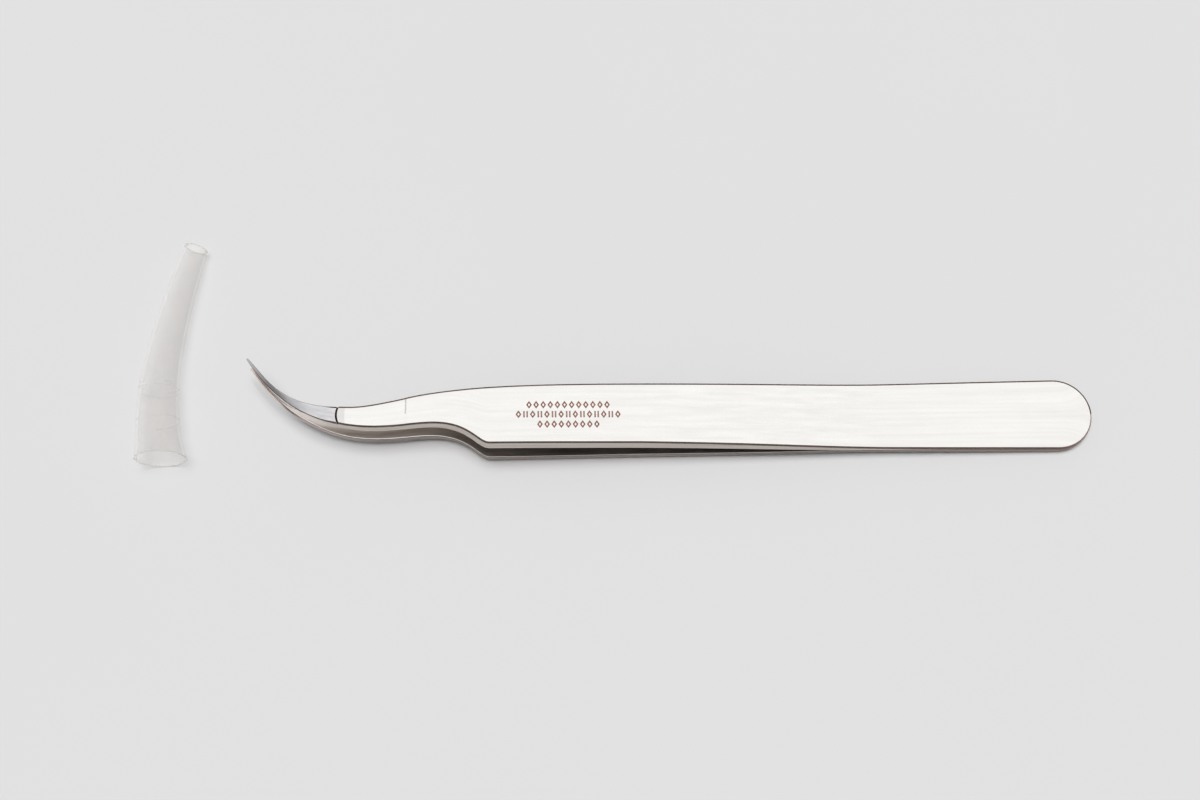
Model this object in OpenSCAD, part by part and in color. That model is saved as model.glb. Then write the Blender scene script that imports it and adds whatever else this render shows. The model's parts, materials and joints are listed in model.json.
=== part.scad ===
// Curved-point spring tongs and their slip-on tip guard, lying on a table.
// Each arm is one strip of steel. The two are welded face to face at the butt.
// The strips thicken towards the belly, step in at the shoulder and sweep sideways to the points.
// In the model an arm is cut square at the place where it is taken to flex, so that it can hinge.
// Lengths along the tongs run from the butt end towards the points.

/* [Tongs] */
// Length from the butt end to the points
tongs_len = 115; // [105:1:125]
// Width across the round butt end
butt_w = 9.7; // [9:0.1:11]
// Width across the belly, where the fingers hold
belly_w = 8.2; // [7.6:0.1:9]
// How far the points reach to the side of the centre line
tip_reach = 9; // [8:0.1:9.6]

/* [Spring] */
// Thickness of one arm at the butt
sheet_t = 0.8; // [0.6:0.05:1]
// Thickness of one arm at the belly
belly_t = 1.8; // [1.5:0.05:2.2]
// Opening between the points at rest
tip_gap = 3.4; // [2.8:0.1:4.2]
// Length over which the arms lie face to face
weld_len = 28; // [24:1:30]
// Where each arm is taken to flex
flex_at = 34; // [32:1:40]

/* [Weld] */
// Diameter of a weld nugget
nugget_d = 3; // [2:0.5:5]
// Depth of a nugget in each arm
nugget_depth = 0.3; // [0.2:0.05:0.4]
// Places of the nuggets along the butt
nugget_at = [8, 18]; // [4:1:22]

/* [Tip guard] */
// Outside diameter of the sleeve behind its flared mouth
guard_mouth_d = 6.4; // [6:0.1:7]
// Outside diameter of the sleeve at its narrow end
guard_end_d = 3.5; // [3:0.1:4]
// Width that the flare adds at the mouth
guard_flare = 0.8; // [0.4:0.1:1.2]
// Wall thickness of the sleeve
guard_wall = 0.45; // [0.3:0.05:0.6]

/* [Hidden] */

// The butt end and the centre line, so that the tongs and guard together lie centred on the origin.
guard_reach = 15.1;
butt_x = (tongs_len + guard_reach) / 2;
axis_y = -11.8;

stretch = tongs_len / 115;
butt_r = butt_w / 2;
belly_r = belly_w / 2;
half_gap = tip_gap / 2;
curve_steps = 8;
clear = 5;
$fn = 96;

function bezier(p, steps, first = 0) = [
    for (i = [first:steps])
        let (t = i / steps, s = 1 - t)
            s * s * s * p[0] + 3 * s * s * t * p[1] + 3 * s * t * t * p[2] + t * t * t * p[3]
];

// A run of Bezier arcs: every third point lies on the curve.
function chain(p) = [
    for (k = [0:3:len(p) - 4])
        each bezier([p[k], p[k + 1], p[k + 2], p[k + 3]], curve_steps, k == 0 ? 0 : 1)
];

function reversed(p) = [for (i = [len(p) - 1:-1:0]) p[i]];
function stretched(p) = [for (q = p) [q[0] * stretch, q[1]]];

// Edge on the outside of the sweep: flank, sharp shoulder, neck and tip.
near_edge = stretched(concat(
    chain([[butt_r, -butt_r], [24, -0.955 * butt_r], [43, -1.04 * belly_r], [62, -belly_r]]),
    chain([[82.3, -0.99 * belly_r], [83.7, -4.1], [84.9, -1.04], [90, -1.04],
        [92.3, -1.04], [94.5, -1.46], [97.5, -1.46],
        [104.6, -1.42], [110.5, 0.215 * tip_reach], [115, tip_reach]])));

// Edge on the inside of the sweep: flank, soft shoulder and hollow of the tip.
far_edge = stretched(
    chain([[butt_r, butt_r], [24, 0.955 * butt_r], [43, 1.04 * belly_r], [62, belly_r],
        [77, belly_r], [88, 3.6], [93, 2.48],
        [97.5, 1.47], [99, 1.24], [100.8, 1.24],
        [110.3, 1.36], [112.1, 0.645 * tip_reach], [115, tip_reach]]));

// Side view of one arm as control points: place, height of the inner face, thickness.
body_side = [
    [weld_len, 0, sheet_t], [37, 0.07 * half_gap, sheet_t], [46, 0.61 * half_gap, 0.83 * belly_t],
    [62, 0.87 * half_gap, belly_t], [70, half_gap, belly_t], [76, 1.15 * half_gap, belly_t],
    [82, 1.15 * half_gap, belly_t], [86, 1.15 * half_gap, belly_t], [90, half_gap, 1.6],
    [96, half_gap, 1.56], [98.5, half_gap, 1.55], [100.5, half_gap, 1.5],
    [102.3, 1.01 * half_gap, 1.42]];
tip_side = [[102.6, 1.01 * half_gap, 1.25], [106, 1.03 * half_gap, 0.85],
    [110, half_gap, 0.45], [115, half_gap, 0.12]];
side = concat([[0, 0, sheet_t]], chain(body_side), chain(tip_side));
inner_face = [for (q = side) [q[0] * stretch, q[1]]];
outer_face = [for (q = side) [q[0] * stretch, q[1] + q[2]]];

// The tongs rest on the butt end and on the lower arm's belly.
pitch = atan(max([for (q = outer_face) q[0] > 0 ? (q[1] - sheet_t) / q[0] : 0]));

// Middle line of the tip guard on the table, as control points measured from the points.
guard_path = [[11.5, -3.8], [13.9, 6.6], [11.5, 17.1], [8.8, 28]];
guard_sides = 24;
guard_rings = 20;
flare_len = 1.6;
steel = [0.78, 0.77, 0.75];
clear_plastic = [0.86, 0.85, 0.82, 0.6];

module on_table() {
    translate([butt_x, axis_y, sheet_t * cos(pitch)])
        mirror([1, 0, 0])
            rotate([0, -pitch, 0])
                children();
}

module plan_outline() {
    polygon(concat(near_edge, reversed(far_edge)));
    translate([butt_r * stretch, 0])
        circle(r = butt_r);
}

module side_outline() {
    polygon(concat(inner_face, reversed(outer_face)));
}

// The whole upper arm, with its inner face on the middle plane at the butt.
module arm_blank() {
    intersection() {
        linear_extrude(height = tip_gap + belly_t)
            plan_outline();
        translate([0, butt_w + tip_reach, 0])
            rotate([90, 0, 0])
                linear_extrude(height = 2 * (butt_w + tip_reach))
                    side_outline();
    }
}

module nuggets() {
    for (x = nugget_at)
        translate([x, 0, -nugget_depth])
            cylinder(d = nugget_d, h = 2 * nugget_depth);
}

// The part of the upper arm behind the flexing place, with pockets for the weld.
module butt_half() {
    difference() {
        intersection() {
            arm_blank();
            translate([-clear, -butt_w, -clear])
                cube([flex_at + clear, 2 * butt_w, 3 * clear]);
        }
        nuggets();
    }
}

// The part of the upper arm ahead of the flexing place.
module free_arm() {
    intersection() {
        arm_blank();
        translate([flex_at, -butt_w, -clear])
            cube([tongs_len, 2 * (butt_w + tip_reach), 3 * clear]);
    }
}

module upper_butt() {
    color(steel) on_table() butt_half();
}

module lower_butt() {
    color(steel) on_table() mirror([0, 0, 1]) butt_half();
}

module weld_nuggets() {
    color(steel) on_table() nuggets();
}

module upper_arm() {
    color(steel) on_table() free_arm();
}

module lower_arm() {
    color(steel) on_table() mirror([0, 0, 1]) free_arm();
}

function guard_r(s) = (guard_mouth_d + (guard_end_d - guard_mouth_d) * s) / 2
    + guard_flare / 2 * exp(-30 * s / flare_len);

// One ring of the sleeve, square to the path at point i, drawn in by the given amount.
function guard_ring(path, i, inset) =
    let (
        last = len(path) - 1,
        s = i / last,
        along = path[min(i + 1, last)] - path[max(i - 1, 0)],
        across = [along[1], -along[0]] / norm(along),
        height = guard_r(0) + (guard_r(1) - guard_r(0)) * s,
        r = guard_r(s) - inset
    )
    [for (k = [0:guard_sides - 1])
        let (a = 360 * k / guard_sides)
            [path[i][0] + r * cos(a) * across[0], path[i][1] + r * cos(a) * across[1],
                height + r * sin(a)]];

// Bowed, tapered sleeve with a flared mouth, lying on its side.
module tip_guard() {
    path = [for (q = guard_path) [butt_x - tongs_len - q[0], axis_y + q[1]]];
    line = bezier(path, guard_rings);
    n = guard_sides;
    outside = [for (i = [0:guard_rings]) each guard_ring(line, i, 0)];
    inside = [for (i = [0:guard_rings]) each guard_ring(line, i, guard_wall)];
    skin = n * (guard_rings + 1);
    color(clear_plastic)
        polyhedron(
            points = concat(outside, inside),
            faces = concat(
                [for (i = [0:guard_rings - 1], k = [0:n - 1], half = [0, 1])
                    let (a = i * n + k, b = i * n + (k + 1) % n)
                        half == 0 ? [a, b, b + n] : [a, b + n, a + n]],
                [for (i = [0:guard_rings - 1], k = [0:n - 1], half = [0, 1])
                    let (a = skin + i * n + k, b = skin + i * n + (k + 1) % n)
                        half == 0 ? [a, b + n, b] : [a, a + n, b + n]],
                [for (k = [0:n - 1], half = [0, 1])
                    let (b = (k + 1) % n)
                        half == 0 ? [k, skin + b, b] : [k, skin + k, skin + b]],
                [for (k = [0:n - 1], half = [0, 1])
                    let (a = skin - n + k, b = skin - n + (k + 1) % n)
                        half == 0 ? [a, b, skin + b] : [a, skin + b, skin + a]]));
}

upper_butt();
lower_butt();
weld_nuggets();
upper_arm();
lower_arm();
tip_guard();
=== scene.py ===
import json
import math

import bmesh
import bpy
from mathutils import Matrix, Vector, noise


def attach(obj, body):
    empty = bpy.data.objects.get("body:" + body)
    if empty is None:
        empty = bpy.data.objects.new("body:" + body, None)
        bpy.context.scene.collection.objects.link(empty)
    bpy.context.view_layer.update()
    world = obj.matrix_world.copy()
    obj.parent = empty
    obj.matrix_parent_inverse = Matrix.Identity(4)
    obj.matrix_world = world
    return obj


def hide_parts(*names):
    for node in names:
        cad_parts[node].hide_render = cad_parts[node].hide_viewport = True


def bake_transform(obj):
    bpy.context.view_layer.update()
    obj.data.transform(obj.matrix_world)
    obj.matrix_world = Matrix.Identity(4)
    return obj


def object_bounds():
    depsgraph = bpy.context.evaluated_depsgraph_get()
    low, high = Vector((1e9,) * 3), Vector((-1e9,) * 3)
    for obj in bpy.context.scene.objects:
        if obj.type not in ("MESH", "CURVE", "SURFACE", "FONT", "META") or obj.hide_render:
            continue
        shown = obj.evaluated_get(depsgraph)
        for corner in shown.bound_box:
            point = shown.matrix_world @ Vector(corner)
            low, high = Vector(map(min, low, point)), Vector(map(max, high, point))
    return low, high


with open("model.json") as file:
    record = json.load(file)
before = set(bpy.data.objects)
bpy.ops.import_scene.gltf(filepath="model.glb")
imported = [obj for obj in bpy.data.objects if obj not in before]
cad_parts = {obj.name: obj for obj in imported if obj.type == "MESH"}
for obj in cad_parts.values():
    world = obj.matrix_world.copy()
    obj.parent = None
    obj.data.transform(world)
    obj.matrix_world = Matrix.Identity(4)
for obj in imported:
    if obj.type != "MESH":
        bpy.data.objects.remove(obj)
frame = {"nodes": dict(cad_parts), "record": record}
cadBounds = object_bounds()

mm = 0.001
mountPlace = 12  # the rest faces are measured this far from the butt end

mounts = {mount["name"]: mount for mount in frame["record"]["mounts"]}
upperFace = Vector(mounts["upper_butt_face"]["pos_m"])
lowerFace = Vector(mounts["lower_butt_face"]["pos_m"])
up = Vector(mounts["upper_butt_face"]["axis"]).normalized()
along = Vector((-up.z, 0, up.x))
across = Vector((0, 1, 0))
buttEnd = (upperFace + lowerFace) / 2 - along * mountPlace * mm


def place(u, v, z):
    return buttEnd + (along * u + across * v + up * z) * mm


def bezier(points, steps):
    a, b, c, d = [Vector(point) for point in points]
    curve = []
    for step in range(steps + 1):
        t = step / steps
        s = 1 - t
        curve.append(a * s ** 3 + b * 3 * s * s * t + c * 3 * s * t * t + d * t ** 3)
    return curve


def chain(points, steps=16):
    curve = [Vector(points[0])]
    for first in range(0, len(points) - 1, 3):
        curve += bezier(points[first:first + 4], steps)[1:]
    return curve


def valueAt(curve, u, column=1):
    for a, b in zip(curve, curve[1:]):
        if a[0] <= u <= b[0] and b[0] > a[0]:
            share = (u - a[0]) / (b[0] - a[0])
            return a[column] + (b[column] - a[column]) * share
    return curve[0][column] if u < curve[0][0] else curve[-1][column]


def measured(curve):
    lengths = [0]
    for a, b in zip(curve, curve[1:]):
        lengths.append(lengths[-1] + (b - a).length)
    return lengths


def pointAtShare(curve, share):
    lengths = measured(curve)
    wanted = share * lengths[-1]
    for i in range(len(curve) - 1):
        if lengths[i + 1] >= wanted:
            part = (wanted - lengths[i]) / max(lengths[i + 1] - lengths[i], 1e-9)
            return curve[i].lerp(curve[i + 1], part)
    return curve[-1].copy()


def ease(value, low, high):
    t = min(max((value - low) / (high - low), 0), 1)
    return t * t * (3 - 2 * t)


def link(name, bm, materials, smoothAngle=28):
    # Edges stay crisp where the finish changes or the surface turns sharply.
    for face in bm.faces:
        face.smooth = True
    for edge in bm.edges:
        finishes = {face.material_index for face in edge.link_faces}
        edge.smooth = len(finishes) == 1 and edge.calc_face_angle(0) < math.radians(smoothAngle)
    mesh = bpy.data.meshes.new(name)
    bm.to_mesh(mesh)
    bm.free()
    for material in materials:
        mesh.materials.append(material)
    piece = bpy.data.objects.new(name, mesh)
    bpy.context.scene.collection.objects.link(piece)
    return piece


def newMaterial(name):
    material = bpy.data.materials.new(name)
    material.use_nodes = True
    nodes = material.node_tree.nodes
    return material, nodes, material.node_tree.links, nodes["Principled BSDF"]


def stretchedNoise(nodes, links, source, stretch, detail=3, roughness=0.6):
    scaled = nodes.new("ShaderNodeMapping")
    scaled.inputs["Scale"].default_value = stretch
    pattern = nodes.new("ShaderNodeTexNoise")
    pattern.inputs["Scale"].default_value = 1
    pattern.inputs["Detail"].default_value = detail
    pattern.inputs["Roughness"].default_value = roughness
    links.new(source, scaled.inputs["Vector"])
    links.new(scaled.outputs["Vector"], pattern.inputs["Vector"])
    return pattern.outputs["Fac"]


def ramp(nodes, links, factor, stops):
    colours = nodes.new("ShaderNodeValToRGB")
    elements = colours.color_ramp.elements
    while len(elements) < len(stops):
        elements.new(0.5)
    for element, (position, colour) in zip(elements, stops):
        element.position = position
        element.color = (*colour, 1)
    links.new(factor, colours.inputs["Fac"])
    return colours.outputs["Color"]


def spread(nodes, links, factor, low, high, fromLow=0.3, fromHigh=0.7):
    remap = nodes.new("ShaderNodeMapRange")
    remap.inputs["From Min"].default_value = fromLow
    remap.inputs["From Max"].default_value = fromHigh
    remap.inputs["To Min"].default_value = low
    remap.inputs["To Max"].default_value = high
    links.new(factor, remap.inputs["Value"])
    return remap.outputs["Result"]


def bumped(nodes, links, height, shader, distance, strength):
    bump = nodes.new("ShaderNodeBump")
    bump.inputs["Distance"].default_value = distance
    bump.inputs["Strength"].default_value = strength
    links.new(height, bump.inputs["Height"])
    links.new(bump.outputs["Normal"], shader.inputs["Normal"])


def shadedAlongArm(nodes, links, source, tone, start, end, shareAtStart, shareAtEnd):
    # Painted shade: scales the tone between two distances along the arm, standing in for how shadow and
    # reflection fall along it.
    split = nodes.new("ShaderNodeSeparateXYZ")
    links.new(source, split.inputs["Vector"])
    scaled = nodes.new("ShaderNodeVectorMath")
    scaled.operation = "SCALE"
    share = spread(nodes, links, split.outputs["X"], shareAtStart, shareAtEnd, start, end)
    links.new(tone, scaled.inputs[0])
    links.new(share, scaled.inputs["Scale"])
    return scaled.outputs["Vector"]


def steelFinish(name, finish):
    # The grain attribute holds millimetres along and across each arm, so the brushing bends with it.
    material, nodes, links, shader = newMaterial(name)
    grain = nodes.new("ShaderNodeAttribute")
    grain.attribute_name = "grain"
    source = grain.outputs["Vector"]
    fine = stretchedNoise(nodes, links, source, finish["fineStreak"])
    broad = stretchedNoise(nodes, links, source, finish["broadStreak"], detail=2)
    handled = stretchedNoise(nodes, links, source, finish["smudge"], detail=2, roughness=0.5)
    tone = ramp(nodes, links, broad, [(0.3, finish["dark"]), (0.7, finish["light"])])
    # painted shade along the arm, for finishes that carry it
    if "paintedShade" in finish:
        tone = shadedAlongArm(nodes, links, source, tone, *finish["paintedShade"])
    links.new(tone, shader.inputs["Base Color"])
    mixed = nodes.new("ShaderNodeMath")
    mixed.operation = "MULTIPLY_ADD"
    mixed.inputs[1].default_value = finish["smudgeShare"]
    links.new(handled, mixed.inputs[0])
    links.new(fine, mixed.inputs[2])
    low, high = finish["roughness"]
    rough = spread(nodes, links, mixed.outputs["Value"], low, high, 0.35, 1.0)
    links.new(rough, shader.inputs["Roughness"])
    shader.inputs["Metallic"].default_value = 1
    bumped(nodes, links, fine, shader, finish["scratchDepth"] * mm, finish["scratchStrength"])
    return material


brushed = {
    "fineStreak": (0.09, 14, 14),
    "broadStreak": (0.035, 1.6, 1.6),
    "smudge": (0.35, 0.7, 0.7),
    "smudgeShare": 0.5,
    "dark": (0.67, 0.655, 0.63),
    "light": (0.73, 0.715, 0.69),
    "roughness": (0.2, 0.34),
    "scratchDepth": 0.004,
    "scratchStrength": 0.35,
}
# Ground side walls; darker toward the points as painted shade.
groundSide = dict(
    brushed,
    fineStreak=(0.16, 5, 22),
    dark=(0.5, 0.44, 0.39),
    light=(0.62, 0.57, 0.53),
    roughness=(0.26, 0.42),
    paintedShade=(109, 116, 1, 0.45),
)
# Inner bevels; darker on the body, where the arms lie close, as painted shade.
bevelFinish = dict(
    brushed,
    dark=(0.6, 0.57, 0.55),
    light=(0.72, 0.69, 0.67),
    scratchStrength=0.1,
    paintedShade=(78, 92, 0.45, 1),
)
# Painted shade: the lower arm's side walls get a darker brown copy of the side steel, standing in for the
# shadowed table they face; it lightens toward the points.
paintedShadeUnderSide = dict(
    groundSide,
    dark=(0.24, 0.19, 0.165),
    light=(0.34, 0.28, 0.255),
    paintedShade=(98, 110, 1, 2),
)
dullFinish = dict(brushed, dark=(0.6, 0.59, 0.58), light=(0.65, 0.64, 0.63), roughness=(0.3, 0.42))
# Painted shade: the inner faces get darker steel than the outside, darkest on the body where the arms lie
# close together.
innerPaintedShade = dict(
    brushed,
    broadStreak=(0.12, 1.6, 1.6),
    dark=(0.42, 0.37, 0.33),
    light=(0.64, 0.6, 0.57),
    roughness=(0.24, 0.38),
    paintedShade=(72, 92, 0.62, 1),
)
# Edge steel; darker toward the points as painted shade.
edgeFinish = dict(
    brushed,
    broadStreak=(0.25, 2, 2),
    dark=(0.27, 0.2, 0.17),
    light=(0.38, 0.3, 0.27),
    roughness=(0.18, 0.3),
    scratchStrength=0.15,
    paintedShade=(109, 116, 1, 0.4),
)
# Ground tip facets; darker toward the points as painted shade.
tipFinish = dict(
    brushed,
    broadStreak=(0.4, 2, 2),
    dark=(0.5, 0.495, 0.51),
    light=(0.64, 0.63, 0.64),
    roughness=(0.26, 0.4),
    paintedShade=(105, 116.5, 1, 0.62),
)
# Painted shade: the groove at the step gets a very dark copy of the edge steel.
groovePaintedShade = dict(edgeFinish, dark=(0.16, 0.11, 0.09), light=(0.25, 0.18, 0.15))
armSteel = [
    steelFinish("brushedFace", brushed),
    steelFinish("groundSide", groundSide),
    steelFinish("polishedEdge", edgeFinish),
    steelFinish("innerFace", innerPaintedShade),
    steelFinish("innerBevel", bevelFinish),
    steelFinish("stonedBand", dullFinish),
    steelFinish("groundTip", tipFinish),
    steelFinish("stepGroove", groovePaintedShade),
]
faceSlot, sideSlot, edgeSlot, innerSlot, bevelSlot, dullSlot, tipSlot, grooveSlot = range(8)
# the lower arm shares the steel, apart from the painted shade on its side walls
lowerSteel = list(armSteel)
lowerSteel[sideSlot] = steelFinish("paintedShadeUnderSide", paintedShadeUnderSide)
print("steel finishes ready")


arm = {
    "length": 115,
    "buttWidth": 9.7,
    "bellyWidth": 8.2,
    "tipReach": 9,
    "sheet": 0.8,
    "belly": 1.8,
    "gap": 3.4,
    "weldLength": 28,
    "nearChamfer": (0.2, 0.24),
    "farChamfer": (0.22, 0.09),
    "tipChamfer": (0.1, 0.12),
    "edgeStand": 0.12,
    "innerBevel": (0.09, 0.028),
    "innerLip": (0.06, 0.07),
    "creaseDrop": 0.05,
    "ridge": (0.55, 0.9),
    "roof": 0.34,
    "roofLength": 9,
    "grooveDepth": 0.24,
    "dullBand": 0.9,
    "crease": 93.4,
    "creaseHalf": 0.1,
    "shoulder": 82.3,
    "flankEnd": 62,
    "step": (102.3, 102.6),
    "stepBow": (0.2, 1.5),
    "flares": [(0.29, 16, 46), (0.09, 84, 92), (0.24, 100, 108)],
    "chamferLimit": 0.22,
    "flexFrom": 26,
    "flexTo": 42,
}


def edgeCurves(size):
    r = size["buttWidth"] / 2
    w = size["bellyWidth"] / 2
    tip = (size["length"], size["tipReach"])
    flank = [(r, r), (24, 0.955 * r), (43, 1.04 * w), (size["flankEnd"], w)]
    far = flank + [(77, w), (88, 3.6), (93, 2.48), (97.5, 1.47), (99, 1.24), (100.8, 1.24)]
    far += [(110.3, 1.36), (112.1, 0.645 * tip[1]), tip]
    shoulder = [(size["shoulder"], -0.99 * w), (83.7, -4.1), (84.9, -1.04), (90, -1.04)]
    shoulder += [(92.3, -1.04), (94.5, -1.46), (97.5, -1.46)]
    shoulder += [(104.6, -1.42), (110.5, 0.215 * tip[1]), tip]
    near = chain([(u, -v) for u, v in flank]) + chain(shoulder)
    return chain(far), near


def sideCurve(size):
    sheet = size["sheet"]
    t = size["belly"]
    g = size["gap"] / 2
    body = [(size["weldLength"], 0, sheet), (37, 0.07 * g, sheet), (46, 0.61 * g, 0.83 * t)]
    body += [(62, 0.87 * g, t), (70, g, t), (76, 1.15 * g, t)]
    body += [(82, 1.15 * g, t), (86, 1.15 * g, t), (90, g, 1.6)]
    body += [(96, g, 1.56), (98.5, g, 1.55), (100.5, g, 1.5)]
    body += [(size["step"][0], 1.01 * g, 1.42)]
    tip = [(size["step"][1], 1.01 * g, 1.25), (106, 1.03 * g, 0.85), (110, g, 0.45)]
    tip += [(size["length"], g, 0.12)]
    return [Vector((0, 0, sheet))] + chain(body) + chain(tip)


farEdge, nearEdge = edgeCurves(arm)
side = sideCurve(arm)


def innerHeight(u):
    return valueAt(side, u, 1)


def outerHeight(u):
    return valueAt(side, u, 1) + valueAt(side, u, 2)


def evenly(first, last, count):
    return [first + (last - first) * i / count for i in range(1, count + 1)]


def armStations(size):
    # Pairs of points on the far and near edges, from the butt end to the points.
    r = size["buttWidth"] / 2
    stations = []
    buttSteps = 14
    for i in range(buttSteps + 1):
        angle = math.pi / 2 * i / buttSteps
        u = r * (1 - math.cos(angle))
        v = r * math.sin(angle)
        stations.append((Vector((u, v)), Vector((u, -v))))
    flankEnd = size["flankEnd"]
    shoulder = size["shoulder"]
    creaseStart = size["crease"] - size["creaseHalf"]
    creaseEnd = size["crease"] + size["creaseHalf"]
    bandStart = size["step"][0] - size["dullBand"]
    tipStart = size["step"][1] + 0.3
    places = evenly(r, flankEnd, 30) + evenly(flankEnd, shoulder - 0.25, 11) + [shoulder]
    places += evenly(shoulder, creaseStart, 26) + [creaseEnd]
    places += evenly(creaseEnd, bandStart, 10)
    places += evenly(bandStart, size["step"][0], 3)
    places += evenly(*size["step"], 2) + [tipStart]
    for u in places:
        stations.append((Vector((u, valueAt(farEdge, u))), Vector((u, valueAt(nearEdge, u)))))
    farTip = [stations[-1][0]] + [point for point in farEdge if point.x > tipStart]
    nearTip = [stations[-1][1]] + [point for point in nearEdge if point.x > tipStart]
    tipStations = 30
    tipReached = 0.99  # the last station stops just short of the point, which leaves a small flat
    for i in range(1, tipStations + 1):
        share = tipReached * i / tipStations
        stations.append((pointAtShare(farTip, share), pointAtShare(nearTip, share)))
    return stations


def outward(points, i, turn):
    a = points[max(i - 1, 0)]
    b = points[min(i + 1, len(points) - 1)]
    run = (b - a).normalized()
    return Vector((-run.y, run.x)) * turn


def flareAt(size, u):
    # How far the inner face stands out at each side, apart from where the arms are welded.
    body, neck, tip = [amount * ease(u, first, last) for amount, first, last in size["flares"]]
    return body - neck - tip


def blended(a, b, share):
    return [x + (y - x) * share for x, y in zip(a, b)]


def armMesh(size, turn):
    stations = armStations(size)
    far = [pair[0] for pair in stations]
    near = [pair[1] for pair in stations]
    columns = 10
    step = sum(size["step"]) / 2
    stand = size["edgeStand"]
    bm = bmesh.new()
    grain = bm.verts.layers.float_vector.new("grain")
    rings = []
    groove = min(range(len(stations)), key=lambda n: abs(stations[n][0].x - step))
    travelled = 0
    for i, (farPoint, nearPoint) in enumerate(stations):
        middle = (farPoint + nearPoint) / 2
        if i:
            travelled += (middle - (far[i - 1] + near[i - 1]) / 2).length
        farOut = outward(far, i, 1)
        nearOut = outward(near, i, -1)
        if i == 0:
            farOut = nearOut = Vector((-1, 0))
        span = (farPoint - nearPoint).length
        u = middle.x
        low = innerHeight(u)
        high = outerHeight(u)
        thick = high - low
        if u > size["crease"]:
            high -= size["creaseDrop"] * (1 - ease(u, size["crease"], size["crease"] + 5))
        if i == groove:
            high -= size["grooveDepth"]
        tipShare = ease(u, step, step + 2.5)
        limit = size["chamferLimit"] * span if u > size["crease"] else 1
        nearWide, nearDrop = blended(size["nearChamfer"], size["tipChamfer"], tipShare)
        farWide, farDrop = blended(size["farChamfer"], size["tipChamfer"], tipShare)
        mostDrop = 0.3 * thick
        nearDrop = min(nearDrop, mostDrop)
        farDrop = min(farDrop, mostDrop)
        bevelWide, bevelDrop = size["innerBevel"]
        lipWide, lipDrop = size["innerLip"]
        lipWide = min(lipWide, 0.5 * limit)
        bevelWide = min(bevelWide, 0.5 * limit) + lipWide
        bevelDrop = min(bevelDrop, 0.12 * thick)
        lipDrop = min(lipDrop, 0.15 * thick) + bevelDrop
        flare = flareAt(size, u)
        ridge = size["ridge"][0] + (size["ridge"][1] - size["ridge"][0]) * ease(u, 104, 110)
        roof = min(size["roof"] * span, 0.75 * thick) * ease(u, step, step + size["roofLength"])
        bowDepth, bowReach = size["stepBow"]
        bow = bowDepth * math.exp(-((u - step) / bowReach) ** 2)

        def roofDrop(share):
            # past the step the outside is ground to a ridge that lies near the far edge
            return roof * max(ridge - share, 0) / (ridge + 1)

        def crossPoint(share, offset, z):
            # share runs from -1 on the near edge to 1 on the far edge
            a = nearPoint + nearOut * offset
            b = farPoint + farOut * offset
            spot = a.lerp(b, (share + 1) / 2)
            spot.x += bow * (1 - share * share)
            return spot, z

        ring = []
        for c in range(columns + 1):
            ring.append(crossPoint(-1 + 2 * c / columns, flare - bevelWide, low))
        ring.append(crossPoint(1, flare - lipWide, low + bevelDrop))
        ring.append(crossPoint(1, flare, low + lipDrop))
        ring.append(crossPoint(1, stand, high - farDrop))
        for c in range(columns + 1):
            share = 1 - 2 * c / columns
            inset = farWide if share > 0 else nearWide
            ring.append(crossPoint(share, stand - min(inset, limit), high - roofDrop(share)))
        ring.append(crossPoint(-1, stand, high - nearDrop - roofDrop(-1)))
        ring.append(crossPoint(-1, flare, low + lipDrop))
        ring.append(crossPoint(-1, flare - lipWide, low + bevelDrop))
        verts = []
        for spot, z in ring:
            vert = bm.verts.new(place(spot.x, spot.y, z * turn))
            vert[grain] = Vector((travelled, (spot - middle).dot(farOut), z))
            verts.append(vert)
        rings.append(verts)
    count = len(rings[0])
    slots = [innerSlot] * columns + [bevelSlot, edgeSlot, sideSlot, edgeSlot]
    slots += [faceSlot] * columns + [edgeSlot, sideSlot, edgeSlot, bevelSlot]
    creaseEnd = columns + 4 + round(0.6 * columns)  # it fades out three fifths of the way across
    for i, (a, b) in enumerate(zip(rings, rings[1:])):
        u = (far[i].x + near[i].x + far[i + 1].x + near[i + 1].x) / 4
        atCrease = abs(u - size["crease"]) < 0.9 * size["creaseHalf"]
        inBand = size["step"][0] - size["dullBand"] < u < size["step"][0]
        inGroove = size["step"][0] < u < size["step"][1]
        for k in range(count):
            face = bm.faces.new((a[k], a[(k + 1) % count], b[(k + 1) % count], b[k]))
            face.material_index = slots[k]
            if slots[k] == faceSlot and (inBand or atCrease and k < creaseEnd):
                face.material_index = dullSlot
            if slots[k] == faceSlot and inGroove:
                face.material_index = grooveSlot
            if slots[k] == faceSlot and u > size["step"][1]:
                face.material_index = tipSlot
    cap = bm.faces.new(rings[-1])
    cap.material_index = tipSlot
    bmesh.ops.remove_doubles(bm, verts=bm.verts, dist=0.0005 * mm)
    bmesh.ops.dissolve_degenerate(bm, edges=bm.edges, dist=0.0002 * mm)
    closed = bmesh.ops.holes_fill(bm, edges=bm.edges, sides=8)
    for face in closed["faces"]:
        face.material_index = edgeSlot
    bmesh.ops.recalc_face_normals(bm, faces=bm.faces)
    return bm


def makeArm(name, turn, steel, buttNode, armNode):
    piece = link(name, armMesh(arm, turn), steel)
    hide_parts(buttNode, armNode)
    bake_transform(piece)


makeArm("upper_strip", 1, armSteel, "upper_butt", "upper_arm")
makeArm("lower_strip", -1, lowerSteel, "lower_butt", "lower_arm")
print("both arms ready")


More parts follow.
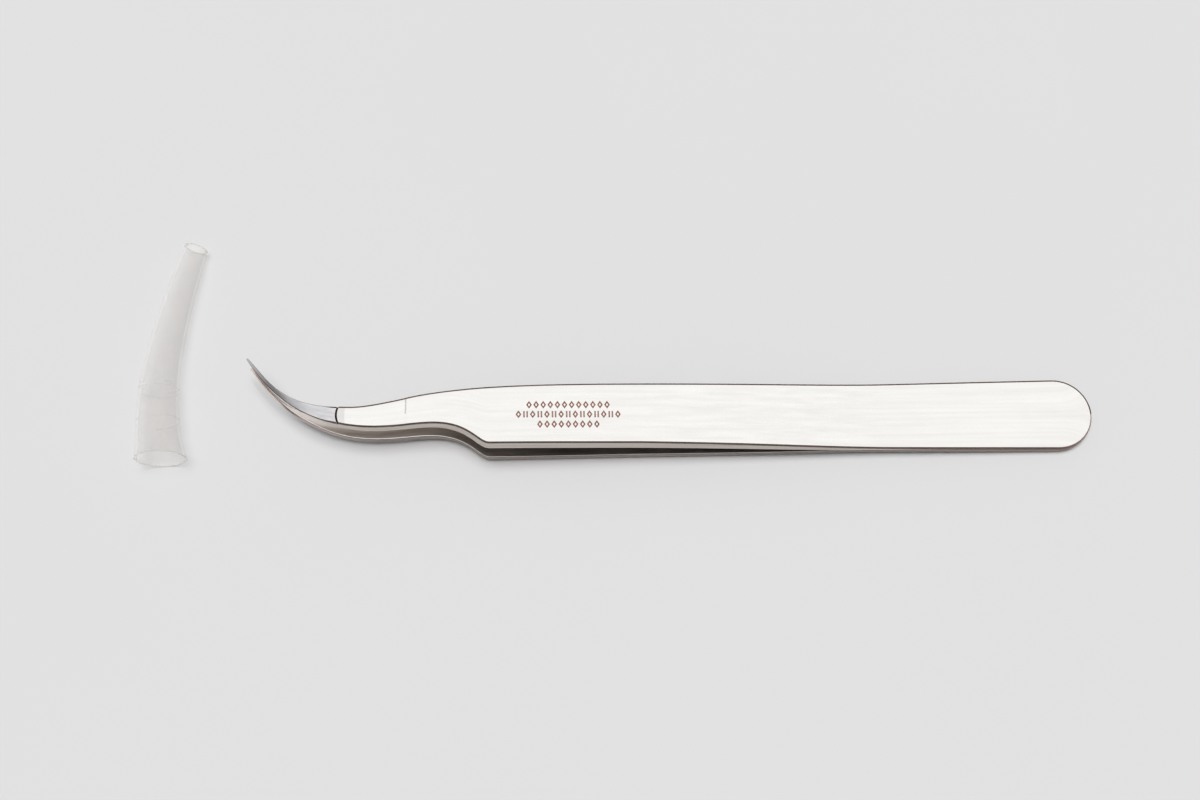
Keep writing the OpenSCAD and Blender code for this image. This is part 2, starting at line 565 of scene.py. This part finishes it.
def weldFinish():
    material, nodes, links, shader = newMaterial("weldSteel")
    coords = nodes.new("ShaderNodeTexCoord")
    mottled = stretchedNoise(nodes, links, coords.outputs["Object"], (1800, 1800, 1800), detail=4)
    tone = ramp(nodes, links, mottled, [(0.35, (0.3, 0.28, 0.27)), (0.65, (0.52, 0.5, 0.49))])
    links.new(tone, shader.inputs["Base Color"])
    links.new(spread(nodes, links, mottled, 0.4, 0.65), shader.inputs["Roughness"])
    shader.inputs["Metallic"].default_value = 1
    bumped(nodes, links, mottled, shader, 0.03 * mm, 0.5)
    return material


# the weld is sealed between the arms, so it keeps its own mesh
weldMesh = frame["nodes"]["weld_nuggets"].data
weldMesh.materials.clear()
weldMesh.materials.append(weldFinish())


# Etched on the outside of the upper arm. Each row has its place across, its marks and their kind.
pattern = {
    "middle": 71.7,
    "rows": [(1.15, 12, "lozenge"), (-0.2, 15, "mixed"), (-1.6, 9, "lozenge")],
    "pitch": 0.95,
    "height": 1.1,
    "stroke": 0.2,
    "stand": 0.006,
    "dark": (0.13, 0.038, 0.018),
    "light": (0.27, 0.1, 0.05),
}


def etchFinish(look):
    material, nodes, links, shader = newMaterial("etchedBrown")
    coords = nodes.new("ShaderNodeTexCoord")
    grainy = stretchedNoise(nodes, links, coords.outputs["Object"], (2600, 5200, 2600), detail=4)
    tone = ramp(nodes, links, grainy, [(0.3, look["dark"]), (0.7, look["light"])])
    links.new(tone, shader.inputs["Base Color"])
    links.new(spread(nodes, links, grainy, 0.45, 0.7), shader.inputs["Roughness"])
    bumped(nodes, links, grainy, shader, 0.01 * mm, 0.4)
    return material


def etchLoop(bm, outer, inner):
    # A flat band between two outlines of the same count, standing just proud of the steel.
    tops = []
    feet = []
    for outline in (outer, inner):
        tops.append([bm.verts.new(place(u, v, outerHeight(u) + pattern["stand"])) for u, v in outline])
        feet.append([bm.verts.new(place(u, v, outerHeight(u) - pattern["stand"])) for u, v in outline])
    count = len(outer)
    for k in range(count):
        n = (k + 1) % count
        bm.faces.new((tops[0][k], tops[0][n], tops[1][n], tops[1][k]))
        bm.faces.new((feet[0][k], feet[1][k], feet[1][n], feet[0][n]))
        bm.faces.new((tops[0][k], feet[0][k], feet[0][n], tops[0][n]))
        bm.faces.new((tops[1][k], tops[1][n], feet[1][n], feet[1][k]))


def lozenge(u, v, wide, tall):
    return [(u - wide / 2, v), (u, v + tall / 2), (u + wide / 2, v), (u, v - tall / 2)]


def barOutline(u, v, wide, tall):
    a, b = wide / 2, tall / 2
    return [(u - a, v - b), (u - a, v + b), (u + a, v + b), (u + a, v - b)]


def makePattern(look):
    bm = bmesh.new()
    stroke = look["stroke"]
    for v, marks, kind in look["rows"]:
        for i in range(marks):
            u = look["middle"] + (i - (marks - 1) / 2) * look["pitch"]
            wide = 0.8 * look["pitch"]
            if kind == "lozenge" or i % 2 == 0:
                outer = lozenge(u, v, wide, look["height"])
                inner = lozenge(u, v, wide - 2.2 * stroke, look["height"] - 3 * stroke)
                etchLoop(bm, outer, inner)
            else:
                for shift in (-0.22, 0.22):
                    bar = barOutline(u + shift * look["pitch"], v, stroke, 0.8 * look["height"])
                    core = barOutline(u + shift * look["pitch"], v, 0.02, 0.5 * look["height"])
                    etchLoop(bm, bar, core)
    bmesh.ops.recalc_face_normals(bm, faces=bm.faces)
    piece = link("etched_pattern", bm, [etchFinish(look)])
    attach(piece, "upper_arm")


makePattern(pattern)
print("pattern ready")


guard = {
    "path": [(11.5, -3.8), (13.9, 6.6), (11.5, 17.1), (8.8, 28)],
    "mouth": 6.4,
    "end": 3.5,
    "flare": 0.8,
    "flareLength": 1.6,
    "wall": 0.45,
    "rings": 96,
    "sides": 56,
    "ridges": [(5.7, 0.5, 0.035), (10.3, 0.5, 0.03), (11.2, 0.5, 0.035)],
    "waver": 0.07,
    "seed": 4,
    "waverDip": 0.02,
    "waverLimit": 0.04,
    "rimBulge": 0.08,
    "scuffRings": (16, 30, 32),
}


def guardRadius(size, share, length):
    plain = (size["mouth"] + (size["end"] - size["mouth"]) * share) / 2
    flare = size["flare"] / 2 * math.exp(-30 * share / size["flareLength"])
    ridges = 0
    for position, width, height in size["ridges"]:
        ridges += height * math.exp(-((share * length - position) / width) ** 2)
    return plain, flare, ridges


def guardSkin(size, inset):
    points = [(buttEnd.x / mm - arm["length"] - q, buttEnd.y / mm + v) for q, v in size["path"]]
    line = bezier(points, size["rings"])
    length = measured(line)[-1]
    first = sum(guardRadius(size, 0, length)[:2])
    last = sum(guardRadius(size, 1, length)[:2])
    drift = Vector((size["seed"], 2.7 * size["seed"], 0))
    rings = []
    for i, spot in enumerate(line):
        share = i / size["rings"]
        run = (line[min(i + 1, size["rings"])] - line[max(i - 1, 0)]).normalized()
        # the mouth is cut square to v
        run = Vector((0, 1)).lerp(run, ease(share, -0.05, 0.2)).normalized()
        acrossRun = Vector((run.y, -run.x, 0))
        plain, flare, ridges = guardRadius(size, share, length)
        centre = Vector((spot.x, spot.y, first + (last - first) * share))
        ring = []
        for k in range(size["sides"]):
            angle = math.tau * k / size["sides"]
            wobble = noise.noise(Vector((math.cos(angle), math.sin(angle), share * 5)) + drift)
            wobble *= size["waver"] * math.sin(math.pi * min(share * 1.1, 1)) - size["waverDip"]
            radius = plain + flare + ridges + min(wobble, size["waverLimit"]) - inset
            offset = acrossRun * math.cos(angle) + Vector((0, 0, 1)) * math.sin(angle)
            ring.append((centre + offset * radius) * mm)
        rings.append(ring)
    return rings


def makeGuard(size, materials):
    bm = bmesh.new()
    wall = size["wall"]
    outside = guardSkin(size, 0)
    inside = guardSkin(size, wall)
    layers = list(outside)
    # the cut rims are slightly rounded, so each has a ring of its own at mid wall
    midwall = guardSkin(size, wall / 2)
    endRun = (Vector(midwall[-1][0]) - Vector(midwall[-2][0])).normalized()
    mouthRun = (Vector(midwall[0][0]) - Vector(midwall[1][0])).normalized()
    layers.append([point + endRun * size["rimBulge"] * mm for point in midwall[-1]])
    layers += inside[::-1]
    layers.append([point + mouthRun * size["rimBulge"] * mm for point in midwall[0]])
    rows = [[bm.verts.new(point) for point in layer] for layer in layers]
    last = size["rings"]
    rims = (last, last + 1, len(rows) - 2, len(rows) - 1)
    for i, (a, b) in enumerate(zip(rows, rows[1:] + rows[:1])):
        for k in range(size["sides"]):
            n = (k + 1) % size["sides"]
            face = bm.faces.new((a[k], a[n], b[n], b[k]))
            if i in rims:
                face.material_index = 1
            elif i in size["scuffRings"] and noise.noise(Vector((k * 0.23, i * 1.7, size["seed"]))) > -0.08:
                face.material_index = 2
    bmesh.ops.recalc_face_normals(bm, faces=bm.faces)
    piece = link("guard_sleeve", bm, materials, smoothAngle=50)
    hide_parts("tip_guard")
    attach(piece, "tip_guard")


def guardFinish(name, dark, light, clear):
    material, nodes, links, shader = newMaterial(name)
    coords = nodes.new("ShaderNodeTexCoord")
    source = coords.outputs["Object"]
    cloudy = stretchedNoise(nodes, links, source, (260, 160, 260), detail=3)
    scuffs = stretchedNoise(nodes, links, source, (1500, 500, 1500), detail=4)
    tone = ramp(nodes, links, cloudy, [(0.3, dark), (0.7, light)])
    links.new(tone, shader.inputs["Base Color"])
    links.new(spread(nodes, links, scuffs, 0.2, 0.42), shader.inputs["Roughness"])
    links.new(spread(nodes, links, cloudy, *clear), shader.inputs["Alpha"])
    bumped(nodes, links, scuffs, shader, 0.02 * mm, 0.25)
    return material


guardFinishes = [
    guardFinish("milkyClear", (0.96, 0.895, 0.84), (1, 0.965, 0.92), (0.05, 0.11)),
    guardFinish("cutRim", (0.93, 0.91, 0.78), (1, 0.99, 0.9), (0.35, 0.6)),
    guardFinish("scuffRing", (0.74, 0.72, 0.67), (0.87, 0.85, 0.8), (0.12, 0.26)),
]
makeGuard(guard, guardFinishes)
print("tip guard ready")


studio = {
    "floorSize": 6,
    "floorPale": (0.78, 0.775, 0.775),
    "floorDim": (0.77, 0.765, 0.765),
    "room": (0.24, 0.24, 0.245),
    "backdrop": (0.75, 0.745, 0.745),
    "lampAt": (0.05, 0.19, 0.75),
    "lampSize": (1.4, 1.3),
    "lampPower": 6.45,
    "keyAt": (-0.02, 0.0, 0.8),
    "keySpread": 29,
    "keyStrength": 2.33,
}


def tableFinish(look):
    material, nodes, links, shader = newMaterial("paleTable")
    coords = nodes.new("ShaderNodeTexCoord")
    speckle = stretchedNoise(nodes, links, coords.outputs["Object"], (9, 9, 9))
    tone = ramp(nodes, links, speckle, [(0.3, look["floorDim"]), (0.7, look["floorPale"])])
    links.new(tone, shader.inputs["Base Color"])
    shader.inputs["Roughness"].default_value = 0.9
    shader.inputs["Specular IOR Level"].default_value = 0.1
    return material


def makeTable(look):
    bm = bmesh.new()
    half = look["floorSize"] / 2
    bmesh.ops.create_grid(bm, x_segments=1, y_segments=1, size=half)
    table = link("table", bm, [tableFinish(look)])


def hangLamp(name, kind, spot, strength):
    lamp = bpy.data.lights.new(name, kind)
    lamp.energy = strength
    holder = bpy.data.objects.new(name, lamp)
    holder.location = spot
    holder.rotation_euler = (-Vector(spot)).to_track_quat("-Z", "Y").to_euler()
    bpy.context.scene.collection.objects.link(holder)
    return holder


def makeLight(look):
    # The steel mirrors only the broad softbox; the sun-like key lights the rest and shapes the shadow.
    softbox = hangLamp("softbox", "AREA", look["lampAt"], look["lampPower"])
    softbox.data.shape = "RECTANGLE"
    softbox.data.size, softbox.data.size_y = look["lampSize"]
    softbox.visible_diffuse = False
    key = hangLamp("key", "SUN", look["keyAt"], look["keyStrength"])
    key.data.angle = math.radians(look["keySpread"])
    key.visible_glossy = False


def makeRoom(look):
    # A dim room for the steel to mirror, and a pale backdrop behind the table.
    world = bpy.data.worlds.new("room")
    world.use_nodes = True
    nodes = world.node_tree.nodes
    links = world.node_tree.links
    dim = nodes["Background"]
    dim.inputs["Color"].default_value = (*look["room"], 1)
    pale = nodes.new("ShaderNodeBackground")
    pale.inputs["Color"].default_value = (*look["backdrop"], 1)
    rays = nodes.new("ShaderNodeLightPath")
    chosen = nodes.new("ShaderNodeMixShader")
    links.new(rays.outputs["Is Camera Ray"], chosen.inputs["Fac"])
    links.new(dim.outputs["Background"], chosen.inputs[1])
    links.new(pale.outputs["Background"], chosen.inputs[2])
    links.new(chosen.outputs["Shader"], nodes["World Output"].inputs["Surface"])
    bpy.context.scene.world = world


lens = {
    "elevation": 70,
    "azimuth": -1.5,
    "distance": 0.2422,
    "focal": 52.5,
    "sensor": 36,
    "aim": (-2.0, -7.45),  # millimetres from the middle of the object's footprint
}


def makeCamera(look):
    low, high = cadBounds
    middle = (low + high) / 2
    target = Vector((middle.x + look["aim"][0] * mm, middle.y + look["aim"][1] * mm, 0))
    e = math.radians(look["elevation"])
    a = math.radians(look["azimuth"])
    back = Vector((math.sin(a) * math.cos(e), -math.cos(a) * math.cos(e), math.sin(e)))
    data = bpy.data.cameras.new("camera")
    data.lens = look["focal"]
    data.sensor_width = look["sensor"]
    data.clip_start = 0.01
    camera = bpy.data.objects.new("camera", data)
    camera.location = target + back * look["distance"]
    camera.rotation_euler = (-back).to_track_quat("-Z", "Y").to_euler()
    bpy.context.scene.collection.objects.link(camera)
    bpy.context.scene.camera = camera


makeTable(studio)
makeLight(studio)
makeRoom(studio)
makeCamera(lens)
bpy.context.scene.view_settings.view_transform = "Standard"
print("table, light and camera ready")
